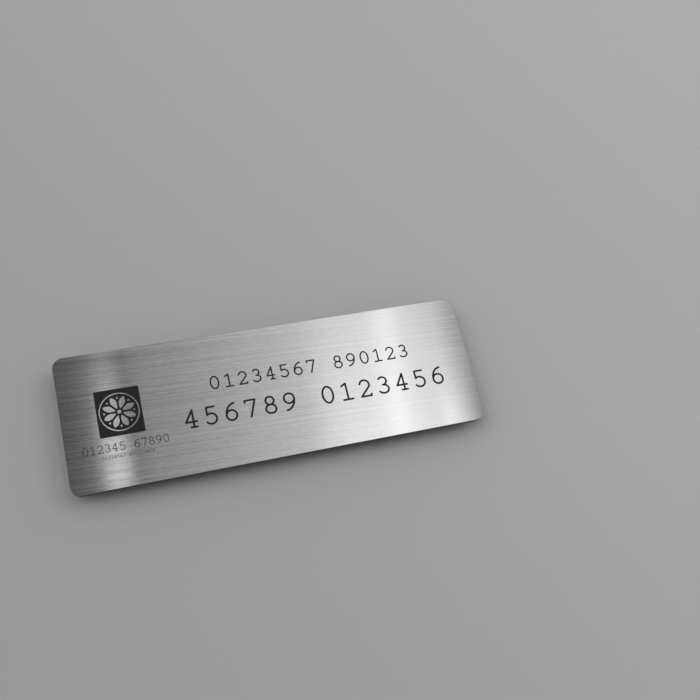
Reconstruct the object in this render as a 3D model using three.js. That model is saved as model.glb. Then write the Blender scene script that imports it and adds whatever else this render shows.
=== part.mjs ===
// A brushed metal name badge, lying face up on the plain bar that fastens it to cloth.
// Millimetres. +X runs along the plate, +Y points to its top edge and +Z out of its face.
// The origin is on the underside of the back bar, below the middle of the plate.
import * as THREE from "three";

// Face plate
const PLATE_LENGTH = 76;
const PLATE_WIDTH = 25;
const PLATE_THICKNESS = 1;
const PLATE_CORNER_RADIUS = 2;
const FACE_CHAMFER = 0.2; // narrow bevel round the front of the plate
const BACK_EDGE_BREAK = 0.1; // burr taken off round the back of the plate

// Back bar, a bought-in magnetic fastener of the usual size
const BAR_LENGTH = 45;
const BAR_WIDTH = 13;
const BAR_THICKNESS = 2.4;
const BAR_CORNER_RADIUS = 3;
const BAR_EDGE_CHAMFER = 0.3; // the same round both of its faces
const ADHESIVE_FILM = 0.1; // thickness of the glue between the bar and the plate

// How finely a quarter turn of an outline is stepped
const STEPS_PER_CORNER = 10;

// Levels that follow from the sizes above
const BAR_BOTTOM = 0;
const BAR_TOP = BAR_BOTTOM + BAR_THICKNESS;
const PLATE_BACK = BAR_TOP + ADHESIVE_FILM;
const PLATE_FACE = PLATE_BACK + PLATE_THICKNESS;

// Points of an oblong with round corners, in order anticlockwise, drawn in by inset all round.
// Every outline of one oblong has as many points, so that they can be joined point to point.
function oblongOutline(length, width, cornerRadius, inset) {
  const radius = cornerRadius - inset;
  const alongCentre = length / 2 - cornerRadius;
  const acrossCentre = width / 2 - cornerRadius;
  const quarter = Math.PI / 2;
  const corners = [
    { x: alongCentre, y: acrossCentre, from: 0 },
    { x: -alongCentre, y: acrossCentre, from: quarter },
    { x: -alongCentre, y: -acrossCentre, from: 2 * quarter },
    { x: alongCentre, y: -acrossCentre, from: 3 * quarter },
  ];
  return corners.flatMap(({ x, y, from }) => {
    const arc = new THREE.EllipseCurve(x, y, radius, radius, from, from + quarter);
    return arc.getPoints(STEPS_PER_CORNER);
  });
}

// A closed solid through a stack of such outlines: walls between neighbouring levels and a flat
// cap on the lowest and the highest. Each level is { z, inset }, from the bottom up.
function stackedOblong(length, width, cornerRadius, levels) {
  const rings = levels.map(({ z, inset }) => ({
    z,
    outline: oblongOutline(length, width, cornerRadius, inset),
  }));
  const count = rings[0].outline.length;
  const positions = rings.flatMap(({ z, outline }) => outline.flatMap((point) => [point.x, point.y, z]));
  const indices = [];
  for (let ring = 0; ring < rings.length - 1; ring += 1) {
    const low = ring * count;
    const high = low + count;
    for (let i = 0; i < count; i += 1) {
      const next = (i + 1) % count;
      indices.push(low + i, low + next, high + next);
      indices.push(low + i, high + next, high + i);
    }
  }
  const top = (rings.length - 1) * count;
  for (const [a, b, c] of THREE.ShapeUtils.triangulateShape(rings[0].outline, [])) {
    indices.push(a, c, b);
    indices.push(top + a, top + b, top + c);
  }
  const shared = new THREE.BufferGeometry();
  shared.setAttribute("position", new THREE.Float32BufferAttribute(positions, 3));
  shared.setIndex(indices);
  const facets = shared.toNonIndexed();
  facets.computeVertexNormals();
  return facets;
}

function facePlate() {
  const geometry = stackedOblong(PLATE_LENGTH, PLATE_WIDTH, PLATE_CORNER_RADIUS, [
    { z: PLATE_BACK, inset: BACK_EDGE_BREAK },
    { z: PLATE_BACK + BACK_EDGE_BREAK, inset: 0 },
    { z: PLATE_FACE - FACE_CHAMFER, inset: 0 },
    { z: PLATE_FACE, inset: FACE_CHAMFER },
  ]);
  const brushedSteel = new THREE.MeshStandardMaterial({ color: 0xb9b9bb, roughness: 0.34, metalness: 1 });
  const plate = new THREE.Mesh(geometry, brushedSteel);
  plate.name = "face_plate";
  return plate;
}

function backBar() {
  const geometry = stackedOblong(BAR_LENGTH, BAR_WIDTH, BAR_CORNER_RADIUS, [
    { z: BAR_BOTTOM, inset: BAR_EDGE_CHAMFER },
    { z: BAR_BOTTOM + BAR_EDGE_CHAMFER, inset: 0 },
    { z: BAR_TOP - BAR_EDGE_CHAMFER, inset: 0 },
    { z: BAR_TOP, inset: BAR_EDGE_CHAMFER },
  ]);
  const satinNickel = new THREE.MeshStandardMaterial({ color: 0xa3a19b, roughness: 0.42, metalness: 1 });
  const bar = new THREE.Mesh(geometry, satinNickel);
  bar.name = "back_bar";
  return bar;
}

const badge = new THREE.Group();
badge.name = "name_badge";
badge.add(facePlate(), backBar());

export default badge;
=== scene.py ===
"""Looks of a brushed steel name badge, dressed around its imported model.

The badge lies face up on the bar that fastens it to cloth. Its face carries two rows of plain
digits, two smaller rows and a rosette panel, all engraved and filled with black enamel.
Lengths are metres in the model's frame: +X along the plate, +Y to its top edge, +Z out of its face.
"""

from __future__ import annotations

import logging
import math
from dataclasses import dataclass
from enum import Enum, IntEnum
from typing import Any, Union

import bpy
import numpy as np
from mathutils import Matrix, Vector
from mathutils.geometry import delaunay_2d_cdt


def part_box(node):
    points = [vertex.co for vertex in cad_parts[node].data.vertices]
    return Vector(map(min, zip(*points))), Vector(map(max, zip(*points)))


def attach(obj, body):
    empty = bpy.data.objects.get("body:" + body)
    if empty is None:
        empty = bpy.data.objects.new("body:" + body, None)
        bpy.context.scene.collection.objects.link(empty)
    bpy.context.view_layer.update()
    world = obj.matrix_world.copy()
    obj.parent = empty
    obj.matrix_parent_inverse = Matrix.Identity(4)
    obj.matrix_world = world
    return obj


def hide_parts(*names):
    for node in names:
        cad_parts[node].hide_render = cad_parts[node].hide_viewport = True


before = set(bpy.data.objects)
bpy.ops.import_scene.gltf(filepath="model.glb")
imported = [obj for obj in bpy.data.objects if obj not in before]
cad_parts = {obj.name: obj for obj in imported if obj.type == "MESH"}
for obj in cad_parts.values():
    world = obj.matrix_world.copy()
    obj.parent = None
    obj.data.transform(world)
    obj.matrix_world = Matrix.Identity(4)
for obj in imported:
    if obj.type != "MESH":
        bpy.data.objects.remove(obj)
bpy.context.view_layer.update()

MM = 0.001
MICRON = 1e-6
# The plate was cut from its sheet a little askew, so the grain isn't quite along its edges.
GRAIN_TURN_DEG = -2.1
# Noise seldom leaves this range.
NOISE_RANGE = (0.3, 0.7)
QUARTER_TURN = math.pi / 2
LOG = logging.getLogger("name_badge")

Array = np.ndarray
Triple = tuple[float, float, float]
Span = tuple[float, float]
Value = Union[bpy.types.NodeSocket, float, tuple]


class Slot(Enum):
    """Names of the badge's material slots."""

    PLATE = "brushed_plate"
    BAR = "fastener_bar"
    FILL = "black_fill"


class PlateLook(IntEnum):
    """The plate's materials, in the order of its material list."""

    FACE = 0
    EDGE = 1
    BACK = 2
    RIM = 3


class NodeSheet:
    """Adds and joins the nodes of one material or of the studio's dome."""

    def __init__(self, tree: bpy.types.NodeTree) -> None:
        """Starts from an empty tree.

        Args:
            tree: The node tree to fill.
        """
        tree.nodes.clear()
        self.tree = tree

    def feed(self, socket: bpy.types.NodeSocket, value: Value) -> None:
        """Links a socket to another node's output, or sets its own value.

        Args:
            socket: The input to feed.
            value: An output socket, a number or a colour.
        """
        if isinstance(value, bpy.types.NodeSocket):
            self.tree.links.new(value, socket)
        else:
            socket.default_value = value

    def add(self, kind: str, inputs: dict[Any, Value] | None = None, **settings: Any) -> bpy.types.Node:
        """Adds one node.

        Args:
            kind: Blender's name of the node's type.
            inputs: What feeds each input, by its name or number.
            **settings: The node's own settings.

        Returns:
            The new node.
        """
        node = self.tree.nodes.new(kind)
        for name, setting in settings.items():
            setattr(node, name, setting)
        for name, value in (inputs or {}).items():
            self.feed(node.inputs[name], value)
        return node

    def maths(self, operation: str, *values: Value) -> bpy.types.NodeSocket:
        """Works out one sum.

        Args:
            operation: The Math node's operation.
            *values: Its operands, in order.

        Returns:
            The result's socket.
        """
        return self.add("ShaderNodeMath", dict(enumerate(values)), operation=operation).outputs[0]

    def remap(self, value: Value, given: Span, wanted: Span,
              smooth: bool = False) -> bpy.types.NodeSocket:
        """Carries one range of numbers over to another, clamped at both ends.

        Args:
            value: The number to carry over.
            given: The range that it comes in.
            wanted: The range that it goes to.
            smooth: True for an even start and stop, False for a straight ramp.

        Returns:
            The result's socket.
        """
        names = ("From Min", "From Max", "To Min", "To Max")
        inputs = {"Value": value, **dict(zip(names, (*given, *wanted)))}
        curve = "SMOOTHSTEP" if smooth else "LINEAR"
        return self.add("ShaderNodeMapRange", inputs, interpolation_type=curve).outputs["Result"]

    def place(self) -> bpy.types.NodeSocket:
        """The place on the piece, in its own coordinates."""
        return self.add("ShaderNodeTexCoord").outputs["Object"]

    def grain(self, size: Triple, detail: float = 2.0, roughness: float = 0.5,
              turn_deg: float = 0.0) -> bpy.types.NodeSocket:
        """Noise on the object's own coordinates, stretched to one size of grain.

        Args:
            size: Length of one grain along X, Y and Z, in metres.
            detail: How many finer layers are added.
            roughness: How strong the finer layers are.
            turn_deg: How far the grain is turned about Z, anticlockwise.

        Returns:
            The noise, mostly within NOISE_RANGE.
        """
        placing = {"Vector": self.place(), "Rotation": (0.0, 0.0, math.radians(turn_deg)), "Scale": size}
        stretched = self.add("ShaderNodeMapping", placing, vector_type="TEXTURE").outputs["Vector"]
        inputs = {"Vector": stretched, "Scale": 1.0, "Detail": detail, "Roughness": roughness}
        return self.add("ShaderNodeTexNoise", inputs).outputs["Fac"]

    def weighted(self, parts: list[tuple[bpy.types.NodeSocket, float]]) -> bpy.types.NodeSocket:
        """Adds up several values, each times its own weight.

        Args:
            parts: The values with their weights.

        Returns:
            The sum's socket.
        """
        total: Value = 0.0
        for value, weight in parts:
            total = self.maths("MULTIPLY_ADD", value, weight, total)
        return total

    def emboss(self, shader: bpy.types.Node, height: Value, depth: float) -> None:
        """Gives a shader's surface a fine relief.

        Args:
            shader: The shader.
            height: The surface's height, as a share of the depth.
            depth: How deep the relief is.
        """
        inputs = {"Strength": 1.0, "Distance": depth, "Height": height}
        bump = self.add("ShaderNodeBump", inputs)
        self.feed(shader.inputs["Normal"], bump.outputs["Normal"])


@dataclass(frozen=True)
class Finish:
    """What every finish of the badge has: a name, a colour and how it scatters light."""

    name: str
    colour: Triple
    roughness: float
    metallic: float

    def start(self) -> tuple[bpy.types.Material, NodeSheet, bpy.types.Node]:
        """Makes the material with a plain shader.

        Returns:
            The material, its node sheet and its shader.
        """
        material = bpy.data.materials.new(self.name)
        material.use_nodes = True
        colour = (*self.colour, 1.0)
        material.diffuse_color = colour
        sheet = NodeSheet(material.node_tree)
        inputs = {"Metallic": self.metallic, "Roughness": self.roughness, "Base Color": colour}
        shader = sheet.add("ShaderNodeBsdfPrincipled", inputs)
        output = sheet.add("ShaderNodeOutputMaterial")
        sheet.feed(output.inputs["Surface"], shader.outputs["BSDF"])
        return material, sheet, shader

    def tint(self, sheet: NodeSheet, shader: bpy.types.Node, shade: Value) -> None:
        """Gives the shader the finish's colour, made lighter or darker.

        Args:
            sheet: The material's node sheet.
            shader: Its shader.
            shade: What the colour is multiplied by.
        """
        inputs = {0: self.colour, "Scale": shade}
        tinted = sheet.add("ShaderNodeVectorMath", inputs, operation="SCALE")
        sheet.feed(shader.inputs["Base Color"], tinted.outputs[0])

    def roughen(self, sheet: NodeSheet, shader: bpy.types.Node, noise: Value, given: Span,
                spread: Span) -> None:
        """Lets the shader's roughness follow a noise.

        Args:
            sheet: The material's node sheet.
            shader: Its shader.
            noise: The noise.
            given: The noise's range.
            spread: The least and the greatest roughness, as shares of the finish's own.
        """
        wanted = (self.roughness * spread[0], self.roughness * spread[1])
        sheet.feed(shader.inputs["Roughness"], sheet.remap(noise, given, wanted))


@dataclass(frozen=True)
class LineGrain(Finish):
    """Steel sheet grained in one direction by an abrasive belt.

    The belt leaves grooves as fine as hairs, short flecks, brighter and duller streaks, and a few
    deeper scratches. Light spreads across the grooves far more than along them. The grain's colour
    swing is full toward -X and fades toward +X as painted highlight, where the plate mirrors the bright
    lights.
    """

    turn_deg: float = GRAIN_TURN_DEG
    anisotropy: float = 1.0
    hairline: Triple = (90 * MM, 0.15 * MM, 90 * MM)
    fleck: Triple = (1.0 * MM, 0.12 * MM, 1.0 * MM)
    streak: Triple = (150 * MM, 0.45 * MM, 150 * MM)
    band: Triple = (200 * MM, 1.8 * MM, 200 * MM)
    hairline_share: float = 0.53
    fleck_share: float = 0.14
    streak_share: float = 0.22
    band_share: float = 0.11
    blend_range: Span = (0.36, 0.64)
    shade_swing: float = 0.235
    scratch: Triple = (14 * MM, 0.2 * MM, 14 * MM)
    scratch_from_to: Span = (0.66, 0.78)
    scratch_shade: float = -0.08
    scratch_height: float = -0.5
    # Painted highlight: the grain's swing is scaled from full toward -X down to pale toward +X.
    full_grain_swing_to: float = -4 * MM
    highlight_faded_swing_from: float = 26 * MM
    highlight_swing_fading: Span = (1.08, 0.28)
    hairline_range: Span = (0.35, 0.65)
    roughness_spread: Span = (0.8, 1.3)
    groove_depth: float = 0.4 * MICRON

    # A quarter of a full turn: light spreads across the grain map's U direction, not along it.
    SPREAD_TURN = 0.25

    def material(self) -> bpy.types.Material:
        """Builds the finish.

        The colour is multiplied by 1 plus the swing times the fading. The swing is the shares of
        the four noises added up, carried over to plus or minus shade_swing, less what scratches
        take. The fading is an eased ramp over x that pales the grain toward +X as painted highlight.

        Returns:
            The material.
        """
        material, sheet, shader = self.start()
        hairline = sheet.grain(self.hairline, detail=2.0, roughness=0.6, turn_deg=self.turn_deg)
        fleck = sheet.grain(self.fleck, detail=0.0, turn_deg=self.turn_deg)
        streak = sheet.grain(self.streak, detail=2.0, roughness=0.55, turn_deg=self.turn_deg)
        band = sheet.grain(self.band, detail=1.0, turn_deg=self.turn_deg)
        scratch = sheet.grain(self.scratch, detail=0.0, turn_deg=self.turn_deg)
        scratch = sheet.remap(scratch, self.scratch_from_to, (0.0, 1.0))
        blend = sheet.weighted([
            (hairline, self.hairline_share),
            (fleck, self.fleck_share),
            (streak, self.streak_share),
            (band, self.band_share),
        ])
        swing = sheet.remap(blend, self.blend_range, (-self.shade_swing, self.shade_swing))
        swing = sheet.maths("MULTIPLY_ADD", scratch, self.scratch_shade, swing)
        x = sheet.add("ShaderNodeSeparateXYZ", {0: sheet.place()}).outputs["X"]
        # Painted highlight: the grain fades toward +X, where the plate mirrors the bright lights.
        ramp = (self.full_grain_swing_to, self.highlight_faded_swing_from)
        swing_fading = sheet.remap(x, ramp, self.highlight_swing_fading, smooth=True)
        self.tint(sheet, shader, sheet.maths("MULTIPLY_ADD", swing, swing_fading, 1.0))
        self.roughen(sheet, shader, hairline, self.hairline_range, self.roughness_spread)
        height = sheet.weighted([(hairline, 1.0), (scratch, self.scratch_height)])
        sheet.emboss(shader, height, self.groove_depth)
        shader.inputs["Anisotropic"].default_value = self.anisotropy
        shader.inputs["Anisotropic Rotation"].default_value = self.SPREAD_TURN
        tangent = sheet.add("ShaderNodeTangent", direction_type="UV_MAP", uv_map=SurfaceMesh.UV_NAME)
        sheet.feed(shader.inputs["Tangent"], tangent.outputs["Tangent"])
        return material


@dataclass(frozen=True)
class SatinMetal(Finish):
    """Metal with a fine even grain, such as a plated bar, an edge darkened as painted shade, or a rubbed
    rim.
    """

    grain: Triple = (0.25 * MM, 0.25 * MM, 0.25 * MM)
    cloud: Triple = (7 * MM, 5 * MM, 5 * MM)
    grain_share: float = 0.35
    cloud_share: float = 0.65
    shade_range: Span = (0.86, 1.1)
    roughness_spread: Span = (0.85, 1.2)
    grain_depth: float = 1.5 * MICRON

    def material(self) -> bpy.types.Material:
        """Builds the finish.

        Returns:
            The material.
        """
        material, sheet, shader = self.start()
        fine = sheet.grain(self.grain, detail=3.0, roughness=0.6)
        cloud = sheet.grain(self.cloud, detail=3.0, roughness=0.5)
        blend = sheet.weighted([(fine, self.grain_share), (cloud, self.cloud_share)])
        self.tint(sheet, shader, sheet.remap(blend, NOISE_RANGE, self.shade_range))
        self.roughen(sheet, shader, cloud, NOISE_RANGE, self.roughness_spread)
        sheet.emboss(shader, fine, self.grain_depth)
        return material


@dataclass(frozen=True)
class Enamel(Finish):
    """Black enamel wiped into the engraving and baked, which settles a little unevenly."""

    ripple: Triple = (0.5 * MM, 0.5 * MM, 0.5 * MM)
    dust: Triple = (0.12 * MM, 0.12 * MM, 0.12 * MM)
    ripple_share: float = 0.5
    dust_share: float = 0.5
    shade_range: Span = (0.7, 1.4)
    roughness_spread: Span = (0.8, 1.25)
    ripple_depth: float = 3 * MICRON
    gloss: float = 0.36

    def material(self) -> bpy.types.Material:
        """Builds the finish.

        Returns:
            The material.
        """
        material, sheet, shader = self.start()
        ripple = sheet.grain(self.ripple, detail=2.0)
        dust = sheet.grain(self.dust, detail=2.0, roughness=0.6)
        blend = sheet.weighted([(ripple, self.ripple_share), (dust, self.dust_share)])
        self.tint(sheet, shader, sheet.remap(blend, NOISE_RANGE, self.shade_range))
        self.roughen(sheet, shader, dust, NOISE_RANGE, self.roughness_spread)
        sheet.emboss(shader, ripple, self.ripple_depth)
        shader.inputs["Specular IOR Level"].default_value = self.gloss
        return material


@dataclass(frozen=True)
class Paper(Finish):
    """Smooth pale paper, with painted light that makes it a little lighter toward +X and +Y."""

    tooth: Triple = (0.4 * MM, 0.4 * MM, 0.4 * MM)
    tooth_shade: Span = (0.99, 1.01)
    painted_light_y_share: float = 0.6
    # Painted light: the floor's tone rises over this reach, as if a lamp lit it from +X and +Y.
    painted_light_from: float = -110 * MM
    painted_light_to: float = 190 * MM
    painted_light_range: Span = (0.915, 1.22)

    def material(self) -> bpy.types.Material:
        """Builds the finish.

        The tone is the colour times painted light, an eased ramp over x plus a share of y, and times a
        trace of the paper's tooth.

        Returns:
            The material.
        """
        material, sheet, shader = self.start()
        x, y, _ = sheet.add("ShaderNodeSeparateXYZ", {0: sheet.place()}).outputs
        reach = (self.painted_light_from, self.painted_light_to)
        painted_light_slant = sheet.maths("MULTIPLY_ADD", y, self.painted_light_y_share, x)
        # Painted light on the floor's colour, brighter toward +X and +Y.
        ramp = sheet.remap(painted_light_slant, reach, self.painted_light_range, smooth=True)
        tooth = sheet.remap(sheet.grain(self.tooth), NOISE_RANGE, self.tooth_shade)
        self.tint(sheet, shader, sheet.maths("MULTIPLY", ramp, tooth))
        return material


class SurfaceMesh:
    """Gathers the points and faces of one piece and writes them to a mesh at once."""

    UV_NAME = "grain"

    def __init__(self, name: str) -> None:
        """Starts an empty piece.

        Args:
            name: The piece's name.
        """
        self.name = name
        self.points: list[Array] = []
        self.faces: list[list[int]] = []
        self.looks: list[int] = []
        self.smooth: list[bool] = []

    def add_points(self, points: Array) -> int:
        """Adds points.

        Args:
            points: Places in metres, one row each.

        Returns:
            The number of the first of them.
        """
        first = sum(len(group) for group in self.points)
        self.points.append(np.asarray(points, dtype=float))
        return first

    def add_faces(self, faces: Array, look: int = 0, smooth: bool = False) -> None:
        """Adds faces that all have the same number of corners.

        Args:
            faces: Numbers of points, one row for each face, anticlockwise seen from outside.
            look: Which of the piece's materials they have.
            smooth: True for a rounded stretch.
        """
        rows = np.asarray(faces, dtype=int).tolist()
        self.faces.extend(rows)
        self.looks.extend([look] * len(rows))
        self.smooth.extend([smooth] * len(rows))

    def build(self, finishes: list[bpy.types.Material]) -> bpy.types.Object:
        """Writes the mesh and its grain map.

        The grain map is flat: U and V are the two coordinates that a face lies along, with U along X
        wherever a face has any stretch along X.

        Args:
            finishes: The piece's materials, in the order of the looks.

        Returns:
            The piece, at the origin.
        """
        points = np.concatenate(self.points)
        used, new_number = np.unique([i for face in self.faces for i in face], return_inverse=True)
        sizes = [len(face) for face in self.faces]
        cuts = np.cumsum([0, *sizes])
        faces = [new_number[a:b].tolist() for a, b in zip(cuts[:-1], cuts[1:])]
        mesh = bpy.data.meshes.new(self.name)
        mesh.from_pydata(points[used], [], faces)
        mesh.polygons.foreach_set("material_index", self.looks)
        mesh.polygons.foreach_set("use_smooth", self.smooth)
        for finish in finishes:
            mesh.materials.append(finish)
        self.write_grain_map(mesh)
        mesh.validate()
        piece = bpy.data.objects.new(self.name, mesh)
        bpy.context.scene.collection.objects.link(piece)
        return piece

    def write_grain_map(self, mesh: bpy.types.Mesh) -> None:
        """Lays the grain map flat on each face, by the axis that its normal is nearest to.

        U is a cos t + b sin t and V is b cos t - a sin t, where a and b are the place along the two
        other axes and t is the turn of the grain.

        Args:
            mesh: The mesh to write it to.
        """
        normals = np.empty((len(mesh.polygons), 3))
        mesh.polygons.foreach_get("normal", normals.ravel())
        totals = np.empty(len(mesh.polygons), dtype=int)
        mesh.polygons.foreach_get("loop_total", totals)
        corners = np.empty(len(mesh.loops), dtype=int)
        mesh.loops.foreach_get("vertex_index", corners)
        places = np.empty((len(mesh.vertices), 3))
        mesh.vertices.foreach_get("co", places.ravel())
        facing = np.repeat(np.abs(normals).argmax(axis=1), totals)
        # The other two axes of a face that looks along X, Y or Z
        along = np.array([1, 0, 0])[facing]
        across = np.array([2, 2, 1])[facing]
        at = places[corners]
        rows = np.arange(len(at))
        turn = math.radians(GRAIN_TURN_DEG)
        u = at[rows, along] * math.cos(turn) + at[rows, across] * math.sin(turn)
        v = at[rows, across] * math.cos(turn) - at[rows, along] * math.sin(turn)
        mesh.uv_layers.new(name=self.UV_NAME).data.foreach_set("uv", np.stack([u, v], axis=1).ravel())


@dataclass(frozen=True)
class Oblong:
    """An oblong with round corners, centred on the Z axis."""

    length: float
    width: float
    corner_radius: float
    corner_steps: int = 24

    def rings(self, profile: Array) -> Array:
        """Carries a profile round the outline.

        A corner's centre stays where it is. Each point is that centre plus (corner radius less inset)
        times (cos t, sin t), where t runs over a quarter turn for each corner.

        Args:
            profile: Rows of inset and height, one for each level.

        Returns:
            Points by level, then by place round the outline, anticlockwise.
        """
        quarter = np.arange(4)[:, None] * QUARTER_TURN
        turn = (quarter + np.linspace(0, QUARTER_TURN, self.corner_steps + 1)).ravel()
        sides = np.array([[1, 1], [-1, 1], [-1, -1], [1, -1]])
        centres = sides * (np.array([self.length, self.width]) / 2 - self.corner_radius)
        centres = np.repeat(centres, self.corner_steps + 1, axis=0)
        reach = (self.corner_radius - profile[:, 0])[:, None, None]
        flat = centres + reach * np.stack([np.cos(turn), np.sin(turn)], axis=1)
        height = np.broadcast_to(profile[:, 1][:, None, None], (*flat.shape[:2], 1))
        return np.concatenate([flat, height], axis=2)


def rounded_edges(bottom: float, top: float, bottom_radius: float, top_radius: float,
                  steps: int = 5) -> Array:
    """Profile of a slab's side with both of its edges rounded.

    Each edge is a quarter circle: inset r (1 - sin t) and height r (1 - cos t) off its face.

    Args:
        bottom: Height of the lower face.
        top: Height of the upper face.
        bottom_radius: Radius of the lower edge.
        top_radius: Radius of the upper edge.
        steps: Steps in each quarter circle.

    Returns:
        Rows of inset and height, from the lower face up.
    """
    t = np.linspace(0, QUARTER_TURN, steps + 1)
    rise, draw_in = 1 - np.cos(t), 1 - np.sin(t)
    lower = np.stack([bottom_radius * draw_in, bottom + bottom_radius * rise], axis=1)
    upper = np.stack([top_radius * draw_in, top - top_radius * rise], axis=1)[::-1]
    return np.concatenate([lower, upper])


def ring_quads(levels: int, count: int) -> Array:
    """Quads between neighbouring rings of a closed grid.

    Args:
        levels: Number of rings.
        count: Points in each ring.

    Returns:
        Rows of four point numbers, facing outwards when the rings rise and run anticlockwise.
    """
    level, place = np.meshgrid(np.arange(levels - 1), np.arange(count), indexing="ij")
    low, high = level * count, (level + 1) * count
    ahead = (place + 1) % count
    return np.stack([low + place, low + ahead, high + ahead, high + place], axis=-1).reshape(-1, 4)


@dataclass(frozen=True)
class Line:
    """A straight stroke between two places, in shares of a digit's height."""

    x0: float
    y0: float
    x1: float
    y1: float

    def path(self) -> Array:
        """The stroke's two ends."""
        return np.array([[self.x0, self.y0], [self.x1, self.y1]])


@dataclass(frozen=True)
class Arc:
    """A stretch of an ellipse, in shares of a digit's height and degrees."""

    x: float
    y: float
    across: float
    up: float
    start: float
    end: float

    STEP_DEG = 7.5

    def path(self) -> Array:
        """Points along the arc: the centre plus (across cos t, up sin t), with t from start to end.

        Returns:
            Rows of x and y.
        """
        steps = math.ceil(abs(self.end - self.start) / self.STEP_DEG)
        t = np.radians(np.linspace(self.start, self.end, steps + 1))
        return np.stack([self.x + self.across * np.cos(t), self.y + self.up * np.sin(t)], axis=1)


Stroke = Union[Line, Arc]

# The digits of a typewriter with one thin line and small slab feet, drawn for this badge.
# x runs from -0.33 to 0.33 about the digit's middle and y from 0 at its foot to 1 at its head.
DIGITS: dict[str, tuple[Stroke, ...]] = {
    "0": (Arc(0, 0.5, 0.31, 0.5, -5, 185), Arc(0, 0.5, 0.31, 0.5, 175, 365)),
    "1": (Line(0.02, 1, 0.02, 0), Line(0.02, 1, -0.25, 0.86), Line(-0.27, 0, 0.31, 0)),
    "2": (Arc(0, 0.7, 0.29, 0.3, 165, -22), Line(0.27, 0.588, -0.31, 0), Line(-0.31, 0, 0.31, 0),
          Line(0.31, 0, 0.31, 0.1)),
    "3": (Arc(-0.02, 0.76, 0.25, 0.24, 145, -90), Arc(-0.02, 0.26, 0.31, 0.26, 90, -150)),
    "4": (Line(0.12, 1, -0.31, 0.31), Line(-0.31, 0.31, 0.31, 0.31), Line(0.12, 1, 0.12, 0),
          Line(-0.05, 0, 0.29, 0)),
    "5": (Line(-0.22, 1, 0.24, 1), Line(-0.22, 1, -0.22, 0.54), Arc(-0.02, 0.31, 0.32, 0.31, 128, -145)),
    "6": (Arc(0.01, 0.3, 0.3, 0.3, -5, 185), Arc(0.01, 0.3, 0.3, 0.3, 175, 365),
          Arc(0.27, 0.3, 0.56, 0.7, 180, 93)),
    "7": (Line(-0.29, 1, 0.31, 1), Line(-0.29, 1, -0.29, 0.89), Line(0.31, 1, -0.06, 0)),
    "8": (Arc(0, 0.76, 0.24, 0.24, -5, 185), Arc(0, 0.76, 0.24, 0.24, 175, 365),
          Arc(0, 0.26, 0.3, 0.26, -5, 185), Arc(0, 0.26, 0.3, 0.26, 175, 365)),
    "9": (Arc(-0.01, 0.7, 0.3, 0.3, -5, 185), Arc(-0.01, 0.7, 0.3, 0.3, 175, 365),
          Arc(-0.27, 0.7, 0.56, 0.7, 0, -87)),
}


@dataclass(frozen=True)
class Patch:
    """A flat outline on the plate's face, anticlockwise, that is cut or left standing."""

    outline: Array
    cut: bool = True


def pen_outline(path: Array, width: float, cap_steps: int = 6) -> Array:
    """Outline of a line drawn with a round pen.

    The path is moved half a width to each side along its normal. A half circle closes each end.

    Args:
        path: The pen's way, two or more places.
        width: The line's width.
        cap_steps: Steps in each half circle.

    Returns:
        The outline, anticlockwise.
    """
    ahead = np.gradient(path, axis=0)
    ahead /= np.linalg.norm(ahead, axis=1, keepdims=True)
    left = np.stack([-ahead[:, 1], ahead[:, 0]], axis=1)
    swing = np.linspace(-QUARTER_TURN, QUARTER_TURN, cap_steps + 1)[1:-1, None]
    end_cap = path[-1] + width / 2 * (np.cos(swing) * ahead[-1] + np.sin(swing) * left[-1])
    start_cap = path[0] - width / 2 * (np.cos(swing) * ahead[0] + np.sin(swing) * left[0])
    right_side = path - width / 2 * left
    left_side = (path + width / 2 * left)[::-1]
    return np.concatenate([right_side, end_cap, left_side, start_cap])


def ellipse(x: float, y: float, across: float, up: float, steps: int) -> Array:
    """A closed ellipse: the centre plus (across cos t, up sin t), with t over a full turn.

    Args:
        x: The centre's place along X.
        y: The centre's place along Y.
        across: Half of its size along X.
        up: Half of its size along Y.
        steps: Number of points.

    Returns:
        The outline, anticlockwise.
    """
    t = np.arange(steps) * 2 * math.pi / steps
    return np.stack([x + across * np.cos(t), y + up * np.sin(t)], axis=1)


@dataclass(frozen=True)
class DigitRow:
    """One row of digits, engraved with a single line."""

    name: str
    text: str
    middle_x: float
    foot_y: float
    height: float
    pitch: float
    line: float

    def patches(self, slack: float) -> list[Patch]:
        """Outlines of the row's strokes.

        A stroke's path is its unit path times the height between the line's centres. Each digit
        stands one pitch from the last, and the row is centred on its middle.

        Args:
            slack: How much the outlines are drawn in all round.

        Returns:
            One patch for each stroke.
        """
        scale = self.height - self.line
        found = []
        for place, sign in enumerate(self.text):
            middle = self.middle_x + (place - (len(self.text) - 1) / 2) * self.pitch
            foot = np.array([middle, self.foot_y + self.line / 2])
            for stroke in DIGITS.get(sign, ()):
                found.append(Patch(pen_outline(foot + scale * stroke.path(), self.line - 2 * slack)))
        return found


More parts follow.
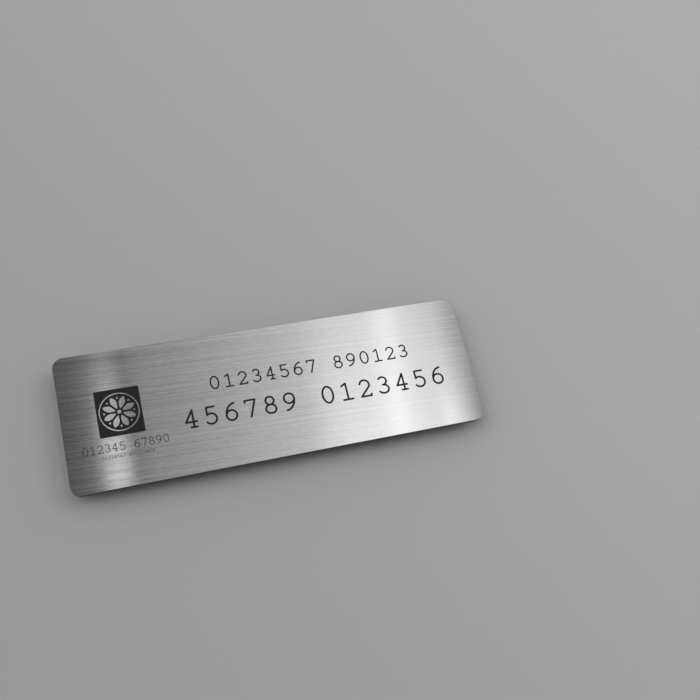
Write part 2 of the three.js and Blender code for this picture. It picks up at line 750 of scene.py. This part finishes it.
@dataclass(frozen=True)
class RosettePanel:
    """A black panel with a rosette of petals left standing in it, inside a thin ring."""

    name: str
    middle_x: float
    middle_y: float
    width: float
    height: float
    petals: int = 8
    petal_from: float = 0.62 * MM
    petal_to: float = 2.95 * MM
    petal_half_width: float = 0.52 * MM
    petal_lean: float = 1.25
    petal_fullness: float = 0.8
    petal_steps: int = 12
    ring_radius: float = 3.4 * MM
    ring_line: float = 0.2 * MM
    ring_steps: int = 72
    heart_radius: float = 0.34 * MM
    heart_steps: int = 24
    bead_radius: float = 0.17 * MM
    bead_inset: float = 0.35 * MM
    bead_steps: int = 12

    def petal(self, turn: float, slack: float) -> Array:
        """Outline of one petal.

        Along the petal's axis s runs from 0 at its root to 1 at its tip. The half width there is the
        greatest half width times (sin(pi s^lean))^fullness. A lean over 1 moves the widest place
        toward the tip, and a fullness under 1 rounds the petal out.

        Args:
            turn: Angle of the petal's axis.
            slack: How much the petal is widened all round.

        Returns:
            The outline, anticlockwise.
        """
        s = np.linspace(0, 1, self.petal_steps + 1)
        along = self.petal_from - slack + (self.petal_to - self.petal_from + 2 * slack) * s
        share = np.sin(math.pi * s ** self.petal_lean) ** self.petal_fullness
        half = (self.petal_half_width + slack) * share
        axis = np.array([math.cos(turn), math.sin(turn)])
        left = np.array([-axis[1], axis[0]])
        right_side = along[:, None] * axis - half[:, None] * left
        left_side = along[:, None] * axis + half[:, None] * left
        middle = np.array([self.middle_x, self.middle_y])
        return middle + np.concatenate([right_side, left_side[-2:0:-1]])

    def patches(self, slack: float) -> list[Patch]:
        """Outlines from the panel inwards, each painted over what comes before it.

        The full turn is divided by the number of petals. A bead stands at each of the steps, and a
        petal points midway between two of them.

        Args:
            slack: How much the black is drawn in all round.

        Returns:
            The patches.
        """
        x, y = self.middle_x, self.middle_y
        half = np.array([self.width, self.height]) / 2 - slack
        corners = np.array([[1, 1], [-1, 1], [-1, -1], [1, -1]])
        outer = self.ring_radius + self.ring_line / 2 + slack
        inner = self.ring_radius - self.ring_line / 2 - slack
        found = [Patch(np.array([x, y]) + corners * half)]
        found.append(Patch(ellipse(x, y, outer, outer, self.ring_steps), cut=False))
        found.append(Patch(ellipse(x, y, inner, inner, self.ring_steps)))
        step = 2 * math.pi / self.petals
        found += [Patch(self.petal(step * (k + 0.5), slack), cut=False) for k in range(self.petals)]
        bead = self.bead_radius + slack
        reach = self.petal_to - self.bead_inset
        for k in range(self.petals):
            at_x, at_y = x + reach * math.cos(step * k), y + reach * math.sin(step * k)
            found.append(Patch(ellipse(at_x, at_y, bead, bead, self.bead_steps), cut=False))
        heart = self.heart_radius + slack
        found.append(Patch(ellipse(x, y, heart, heart, self.heart_steps), cut=False))
        return found


Mark = Union[DigitRow, RosettePanel]


class Regions:
    """Splits a flat face along the outlines of its patches, into cut and standing triangles."""

    # Points this near each other count as one, in millimetres.
    MERGE_WITHIN = 1e-6
    # The triangulation's own number for keeping only what lies inside the outlines.
    INSIDE_ONLY = 1

    def __init__(self, patches: list[Patch], edge: Array | None = None) -> None:
        """Triangulates the face.

        Each outline becomes a ring of edges that no triangle crosses. A triangle is cut if the last
        patch that holds it is cut. One that no patch holds, as in the eye of a 0, is left standing.

        Args:
            patches: The outlines, each painted over what comes before it.
            edge: Outline of the whole face, or None for the patches alone.
        """
        rings = ([edge] if edge is not None else []) + [patch.outline for patch in patches]
        is_cut = ([False] if edge is not None else []) + [patch.cut for patch in patches]
        points = np.concatenate(rings) / MM
        starts = np.cumsum([0] + [len(ring) for ring in rings])
        faces = [list(range(a, b)) for a, b in zip(starts[:-1], starts[1:])]
        given = [Vector(point) for point in points.tolist()]
        found = delaunay_2d_cdt(given, [], faces, self.INSIDE_ONLY, self.MERGE_WITHIN, True)
        places, _, triangles, given_numbers, _, holders = found
        self.points = np.array([tuple(place) for place in places]) * MM
        self.triangles = np.array(triangles)
        self.cut = np.array([bool(held) and is_cut[max(held)] for held in holders])
        new_number = {old: new for new, olds in enumerate(given_numbers) for old in olds}
        edge_count = 0 if edge is None else len(edge)
        self.edge = np.array([new_number[old] for old in range(edge_count)], dtype=int)

    def border(self) -> Array:
        """Finds the edges with a cut triangle on their left and no cut triangle on their right.

        Returns:
            Rows of two point numbers.
        """
        cut = self.triangles[self.cut]
        ahead = np.concatenate([cut[:, [0, 1]], cut[:, [1, 2]], cut[:, [2, 0]]])
        span = len(self.points)
        codes = ahead[:, 0] * span + ahead[:, 1]
        back = ahead[:, 1] * span + ahead[:, 0]
        return ahead[~np.isin(back, codes)]


@dataclass(frozen=True)
class Engraving:
    """How deep the marks are cut and how full the enamel fills them."""

    marks: tuple[Mark, ...]
    depth: float = 0.1 * MM
    enamel_below_face: float = 0.015 * MM
    enamel_gap: float = 0.004 * MM

    def patches(self) -> list[Patch]:
        """Outlines of all marks as they are cut."""
        return [patch for mark in self.marks for patch in mark.patches(0.0)]

    def fill(self, mark: Mark, face: float, finish: bpy.types.Material) -> bpy.types.Object:
        """The enamel in one mark: its triangles as a lid and a floor, joined by walls at its border.

        Args:
            mark: The mark to fill.
            face: Height of the plate's face.
            finish: The enamel's material.

        Returns:
            The piece.
        """
        regions = Regions(mark.patches(self.enamel_gap))
        top, bottom = face - self.enamel_below_face, face - self.depth + self.enamel_gap
        count = len(regions.points)
        surface = SurfaceMesh(mark.name)
        for height in (bottom, top):
            surface.add_points(np.column_stack([regions.points, np.full(count, height)]))
        cut = regions.triangles[regions.cut]
        a, b = regions.border().T
        surface.add_faces(cut[:, ::-1])
        surface.add_faces(cut + count)
        surface.add_faces(np.stack([a, b, b + count, a + count], axis=1))
        return surface.build([finish])


@dataclass(frozen=True)
class FacePlate:
    """The brushed plate, with its marks cut into the face."""

    outline: Oblong
    back: float
    face: float
    engraving: Engraving
    face_edge_radius: float = 0.08 * MM
    back_edge_radius: float = 0.1 * MM

    def build(self, looks: dict[PlateLook, bpy.types.Material]) -> bpy.types.Object:
        """Builds the plate as one closed surface.

        Its side is a profile with round edges carried round the outline. Its face is split into
        triangles along the marks: what is cut drops to the depth of the engraving, and a wall
        joins it to the face along the border.

        Args:
            looks: The materials of the face, of the side with its lower edge, of the back and of the
                round rim between the side and the face.

        Returns:
            The piece.
        """
        profile = rounded_edges(self.back, self.face, self.back_edge_radius, self.face_edge_radius)
        rings = self.outline.rings(profile)
        levels, count = rings.shape[:2]
        regions = Regions(self.engraving.patches(), edge=rings[-1, :, :2])
        surface = SurfaceMesh("brushed_plate")
        surface.add_points(rings[:-1].reshape(-1, 3))
        flat = len(regions.points)
        top = surface.add_points(np.column_stack([regions.points, np.full(flat, self.face)]))
        groove = self.face - self.engraving.depth
        floor = surface.add_points(np.column_stack([regions.points, np.full(flat, groove)]))
        side = ring_quads(levels - 1, count)
        below_rim = levels // 2 * count
        surface.add_faces(side[:below_rim], look=PlateLook.EDGE, smooth=True)
        surface.add_faces(side[below_rim:], look=PlateLook.RIM, smooth=True)
        last = (levels - 2) * count + np.arange(count)
        rim = top + regions.edge
        joined = np.stack([last, np.roll(last, -1), np.roll(rim, -1), rim], axis=1)
        surface.add_faces(joined, look=PlateLook.RIM, smooth=True)
        surface.add_faces(np.arange(count)[None, ::-1], look=PlateLook.BACK)
        surface.add_faces(regions.triangles[~regions.cut] + top)
        surface.add_faces(regions.triangles[regions.cut] + floor)
        a, b = regions.border().T
        surface.add_faces(np.stack([a + floor, a + top, b + top, b + floor], axis=1))
        return surface.build([looks[look] for look in PlateLook])


@dataclass(frozen=True)
class BackBar:
    """The plain bar that fastens the badge to cloth."""

    outline: Oblong
    bottom: float
    top: float
    edge_radius: float = 0.3 * MM

    def build(self, finish: bpy.types.Material) -> bpy.types.Object:
        """Builds the bar: a profile with two round edges carried round the outline, and two caps.

        Args:
            finish: The bar's material.

        Returns:
            The piece.
        """
        profile = rounded_edges(self.bottom, self.top, self.edge_radius, self.edge_radius)
        rings = self.outline.rings(profile)
        levels, count = rings.shape[:2]
        surface = SurfaceMesh("fastener_bar")
        surface.add_points(rings.reshape(-1, 3))
        surface.add_faces(ring_quads(levels, count), smooth=True)
        surface.add_faces(np.arange(count)[None, ::-1])
        surface.add_faces((levels - 1) * count + np.arange(count)[None])
        return surface.build([finish])


@dataclass(frozen=True)
class CameraView:
    """A camera given by what it looks at and from where."""

    aim: Triple
    distance: float
    heading_deg: float
    elevation_deg: float
    roll_deg: float
    focal_px: float
    frame_px: float = 700.0
    sensor_width_mm: float = 36.0
    nearest: float = 1 * MM
    farthest: float = 100.0

    def build(self) -> bpy.types.Object:
        """Places the camera.

        Its view runs along (cos e sin h, cos e cos h, -sin e) for heading h and elevation e, and the
        picture's right and up are then turned about that line by the roll.

        Returns:
            The camera.
        """
        heading = math.radians(self.heading_deg)
        elevation = math.radians(self.elevation_deg)
        roll = math.radians(self.roll_deg)
        forward = math.cos(elevation)
        ahead = Vector((forward * math.sin(heading), forward * math.cos(heading), -math.sin(elevation)))
        level = ahead.cross(Vector((0, 0, 1))).normalized()
        upright = level.cross(ahead)
        right = math.cos(roll) * level + math.sin(roll) * upright
        up = math.cos(roll) * upright - math.sin(roll) * level
        data = bpy.data.cameras.new("photo_view")
        data.sensor_width = self.sensor_width_mm
        data.lens = self.sensor_width_mm * self.focal_px / self.frame_px
        data.clip_start, data.clip_end = self.nearest, self.farthest
        camera = bpy.data.objects.new("photo_view", data)
        place = Vector(self.aim) - self.distance * ahead
        turn = Matrix((right, up, -ahead)).transposed().to_4x4()
        camera.matrix_world = Matrix.Translation(place) @ turn
        bpy.context.scene.collection.objects.link(camera)
        bpy.context.scene.camera = camera
        return camera


@dataclass(frozen=True)
class SoftBox:
    """One oblong light of the dome, given by the directions that it fills.

    across runs over the X part of the direction and along over its Y part, both for the light's
    outer edges. The light rises from nothing at an edge to its full level over that edge's fade.
    A leaning light's place across shifts by the lean for each unit along.
    """

    across: Span
    across_fade: Span
    along: Span
    along_fade: Span
    level: float
    lean: float = 0.0

    def glow(self, sheet: NodeSheet, x: bpy.types.NodeSocket,
             y: bpy.types.NodeSocket) -> bpy.types.NodeSocket:
        """The level times an eased step at each of the four edges.

        Args:
            sheet: The dome's node sheet.
            x: X part of the direction.
            y: Y part of the direction.

        Returns:
            The light's brightness in that direction.
        """
        total: Value = self.level
        x = sheet.maths("MULTIPLY_ADD", y, -self.lean, x)
        sides = ((x, self.across, self.across_fade), (y, self.along, self.along_fade))
        for part, ends, fades in sides:
            rise = sheet.remap(part, (ends[0], ends[0] + fades[0]), (0.0, 1.0), smooth=True)
            fall = sheet.remap(part, (ends[1], ends[1] - fades[1]), (0.0, 1.0), smooth=True)
            total = sheet.maths("MULTIPLY", total, sheet.maths("MULTIPLY", rise, fall))
        return total


@dataclass(frozen=True)
class Studio:
    """A plain pale floor under a soft dome of light."""

    floor_size: float = 12.0
    overhead: float = 0.118
    behind_camera: float = 0.05
    dimming_over_y: Span = (-0.3, -0.05)
    horizon: float = 0.35
    horizon_height: float = 0.3
    lights_from: float = 0.06
    lights_full: float = 0.24
    lights: tuple[SoftBox, ...] = ()

    def build_floor(self) -> bpy.types.Object:
        """Makes the floor, a flat sheet under the badge.

        Returns:
            The floor.
        """
        half = self.floor_size / 2
        mesh = bpy.data.meshes.new("floor")
        corners = [(-half, -half, 0), (half, -half, 0), (half, half, 0), (-half, half, 0)]
        mesh.from_pydata(corners, [], [(0, 1, 2, 3)])
        mesh.materials.append(FLOOR_PAPER.material())
        floor = bpy.data.objects.new("floor", mesh)
        bpy.context.scene.collection.objects.link(floor)
        return floor

    def build_dome(self) -> bpy.types.World:
        """Makes the dome.

        It is dim overhead, dimmer toward -Y, behind the camera, and brighter near the horizon. Each
        light adds its own glow, which fades out toward the horizon.

        Returns:
            The world.
        """
        world = bpy.data.worlds.new("dome")
        world.use_nodes = True
        bpy.context.scene.world = world
        sheet = NodeSheet(world.node_tree)
        way = sheet.add("ShaderNodeTexCoord").outputs["Generated"]
        x, y, z = sheet.add("ShaderNodeSeparateXYZ", {0: way}).outputs
        total = sheet.remap(y, self.dimming_over_y, (self.behind_camera, self.overhead), smooth=True)
        low_glow = sheet.remap(z, (self.horizon_height, 0.0), (0.0, self.horizon), smooth=True)
        total = sheet.maths("ADD", total, low_glow)
        lit = sheet.remap(z, (self.lights_from, self.lights_full), (0.0, 1.0), smooth=True)
        for light in self.lights:
            total = sheet.maths("MULTIPLY_ADD", light.glow(sheet, x, y), lit, total)
        white = (1.0, 1.0, 1.0, 1.0)
        background = sheet.add("ShaderNodeBackground", {"Strength": total, "Color": white})
        output = sheet.add("ShaderNodeOutputWorld")
        sheet.feed(output.inputs["Surface"], background.outputs["Background"])
        return world


# The floor's colour carries painted light: it is a little lighter toward +X and +Y.
FLOOR_PAPER = Paper("pale_paper", (0.645, 0.645, 0.645), roughness=0.9, metallic=0.0)
BRUSHED_STEEL = LineGrain("line_grained_steel", (0.6, 0.6, 0.605), roughness=0.12, metallic=1.0)
FACE_RIM = SatinMetal("rubbed_rim", (0.33, 0.33, 0.333), roughness=0.3, metallic=1.0)
# The plate's side is near black as painted shade, standing in for the dark shade along its lower edge.
SHADE_DARKENED_EDGE = SatinMetal(
    "shade_darkened_edge",
    (0.02, 0.02, 0.0205),
    roughness=0.32,
    metallic=1.0,
    shade_range=(0.7, 1.35),
    grain=(0.09 * MM, 0.09 * MM, 1.6 * MM),
    grain_depth=2 * MICRON,
)
ROLLED_BACK = LineGrain(
    "rolled_steel_back",
    (0.45, 0.45, 0.455),
    roughness=0.34,
    metallic=1.0,
    anisotropy=0.6,
    shade_swing=0.1,
    hairline=(7 * MM, 0.2 * MM, 7 * MM),
    roughness_spread=(0.9, 1.15),
)
SATIN_NICKEL = SatinMetal(
    "satin_nickel",
    (0.5, 0.487, 0.465),
    roughness=0.3,
    metallic=1.0,
    shade_range=(0.93, 1.06),
    grain=(0.16 * MM, 0.16 * MM, 0.16 * MM),
    cloud=(14 * MM, 5 * MM, 5 * MM),
)
BLACK_ENAMEL = Enamel("black_enamel", (0.005, 0.005, 0.0055), roughness=0.42, metallic=0.0)

PLATE_CORNER_RADIUS = 2 * MM
BAR_CORNER_RADIUS = 3 * MM
ROWS_MIDDLE_X = 7.4 * MM
PANEL_MIDDLE_X = -27.9 * MM
SMALL_ROW_MIDDLE_X = -27.7 * MM
TINY_ROW_MIDDLE_X = -27.5 * MM

MARKS: tuple[Mark, ...] = (
    DigitRow("upper_row_enamel", "01234567 890123", ROWS_MIDDLE_X, foot_y=2.05 * MM, height=2.6 * MM,
             pitch=2.58 * MM, line=0.28 * MM),
    DigitRow("lower_row_enamel", "456789 0123456", ROWS_MIDDLE_X, foot_y=-4.35 * MM, height=3.5 * MM,
             pitch=3.6 * MM, line=0.37 * MM),
    RosettePanel("rosette_enamel", PANEL_MIDDLE_X, middle_y=0.95 * MM, width=7.8 * MM, height=8.5 * MM),
    DigitRow("small_row_enamel", "012345 67890", SMALL_ROW_MIDDLE_X, foot_y=-5.95 * MM, height=1.5 * MM,
             pitch=1.25 * MM, line=0.125 * MM),
    DigitRow("tiny_row_enamel", "01234567 890123456", TINY_ROW_MIDDLE_X, foot_y=-7.2 * MM,
             height=0.6 * MM, pitch=0.5 * MM, line=0.065 * MM),
)

# Solved from where the real plate's four corners are in the picture. The aim lies on its face.
PHOTO_VIEW = CameraView(
    aim=(15.42 * MM, 5.25 * MM, 3.5 * MM),
    distance=175.96 * MM,
    heading_deg=39.88,
    elevation_deg=66.15,
    roll_deg=28.02,
    focal_px=936.3,
)

# Columns: across and its fades, along and its fades, level. The first six lights cross the plate as
# bands in the camera's view, and the next two lift its left end. The rest are big, and light the
# floor and the plate as it is seen from other sides. The first four, and how far the fifth reaches
# along, are mostly the result of a least-squares fit to the tone of the plate in the picture. The
# others were set one by one.
STUDIO = Studio(
    lights=(
        SoftBox((-0.008, 0.42), (0.325, 0.117), (-0.15, 0.829), (0.1, 0.426), 0.62),
        SoftBox((0.021, 0.412), (0.015, 0.109), (-0.15, 0.829), (0.1, 0.426), 0.234),
        SoftBox((0.196, 0.357), (0.045, 0.008), (-0.15, 0.463), (0.1, 0.366), 0.573),
        SoftBox((0.271, 0.313), (0.036, 0.0137), (-0.15, 0.829), (0.1, 0.426), 0.41),
        SoftBox((0.336, 0.378), (0.01, 0.02), (-0.15, 0.2527), (0.1, 0.04), 0.95),
        SoftBox((-0.0085, 0.0308), (0.018, 0.012), (0.12, 0.33), (0.12, 0.09), 1.75, lean=-0.04),
        SoftBox((-0.045, 0.024), (0.033, 0.02), (0.22, 0.45), (0.05, 0.15), 0.12),
        SoftBox((-0.045, 0.006), (0.025, 0.01), (0.19, 0.31), (0.04, 0.04), 0.08),
        SoftBox((-0.88, -0.12), (0.2, 0.04), (-0.1, 0.62), (0.1, 0.15), 1.35),
        SoftBox((0.47, 0.9), (0.1, 0.1), (-0.1, 0.6), (0.1, 0.15), 1.4),
        SoftBox((-1.2, -0.72), (0.15, 0.2), (-0.5, 0.72), (0.35, 0.2), 0.5),
        SoftBox((0.74, 1.2), (0.2, 0.15), (-0.5, 0.72), (0.35, 0.2), 0.5),
        SoftBox((-0.95, 0.95), (0.35, 0.35), (0.55, 1.2), (0.18, 0.15), 0.42),
        SoftBox((-0.6, 0.12), (0.3, 0.12), (0.45, 0.85), (0.14, 0.3), 0.25),
        SoftBox((0.2, 1.0), (0.25, 0.1), (-1.0, -0.35), (0.1, 0.25), 0.24),
        SoftBox((-1.0, -0.2), (0.1, 0.25), (-1.0, -0.35), (0.1, 0.25), 0.24),
        SoftBox((-0.3, 0.3), (0.25, 0.25), (-1.1, -0.65), (0.05, 0.2), 0.22),
    ),
)


def outline_of(node: str, corner_radius: float) -> tuple[Oblong, float, float]:
    """Reads an oblong node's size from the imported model.

    Args:
        node: The node's name.
        corner_radius: Radius of its corners, which its box doesn't tell.

    Returns:
        The oblong, and the heights of the node's lower and upper faces.
    """
    low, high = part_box(node)
    return Oblong(high[0] - low[0], high[1] - low[1], corner_radius), low[2], high[2]


def place_on_model(piece: bpy.types.Object, slot: Slot, *nodes: str) -> None:
    """Makes a piece ride on the badge and says what it stands for.

    Args:
        piece: The finished piece.
        slot: Not used.
        *nodes: The model's nodes that it replaces.
    """
    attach(piece, "root")
    if nodes:
        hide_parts(*nodes)
    piece.data.calc_loop_triangles()
    count = len(piece.data.loop_triangles)
    LOG.info("%s: %d triangles, replaces %s", piece.name, count, ", ".join(nodes) or "nothing")


def main() -> None:
    """Builds the studio, the plate, its enamel and the bar, in that order."""
    logging.basicConfig(level=logging.INFO, format="%(name)s: %(message)s")
    bpy.context.scene.view_settings.view_transform = "Standard"
    PHOTO_VIEW.build()
    STUDIO.build_floor()
    STUDIO.build_dome()

    plate_outline, back, face = outline_of("face_plate", PLATE_CORNER_RADIUS)
    engraving = Engraving(MARKS)
    plate = FacePlate(plate_outline, back, face, engraving)
    looks = {
        PlateLook.FACE: BRUSHED_STEEL.material(),
        # The side's near-black colour is painted shade.
        PlateLook.EDGE: SHADE_DARKENED_EDGE.material(),
        PlateLook.BACK: ROLLED_BACK.material(),
        PlateLook.RIM: FACE_RIM.material(),
    }
    place_on_model(plate.build(looks), Slot.PLATE, "face_plate")

    enamel = BLACK_ENAMEL.material()
    for mark in engraving.marks:
        place_on_model(engraving.fill(mark, face, enamel), Slot.FILL)

    bar_outline, bottom, top = outline_of("back_bar", BAR_CORNER_RADIUS)
    bar = BackBar(bar_outline, bottom, top)
    place_on_model(bar.build(SATIN_NICKEL.material()), Slot.BAR, "back_bar")


if __name__ == "__main__":
    main()
